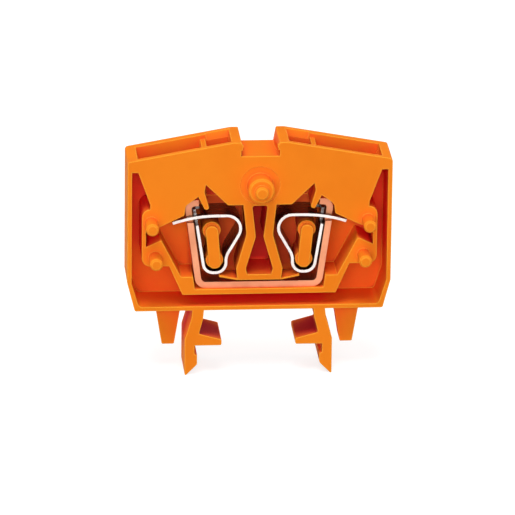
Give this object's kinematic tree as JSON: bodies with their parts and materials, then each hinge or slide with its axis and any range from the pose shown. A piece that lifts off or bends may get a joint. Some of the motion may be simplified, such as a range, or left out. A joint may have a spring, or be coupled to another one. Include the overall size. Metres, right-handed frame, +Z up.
{
  "type": "feed-through terminal block",
  "caption": "Rail-mounted feed-through terminal block: open-sided orange housing with a folded copper current bar, cage-clamp springs, pegs and rail latches.",
  "frame": {"origin": "on the rail seat, midway along the block and midway through its thickness", "axes": "+X along the block, +Y towards the closed back, +Z up and away from the rail"},
  "size_m": [0.0314, 0.0092, 0.0291],
  "materials": {
    "moulding": "moulded polyamide, satin",
    "copper": "bare copper, sheared edges",
    "spring_steel": "spring steel, bright edges"
  },
  "bodies": {
    "root": {"housing": "moulding", "current_bar": "copper", "clamp_spring_left": "spring_steel", "clamp_spring_right": "spring_steel"}
  },
  "joints": []
}
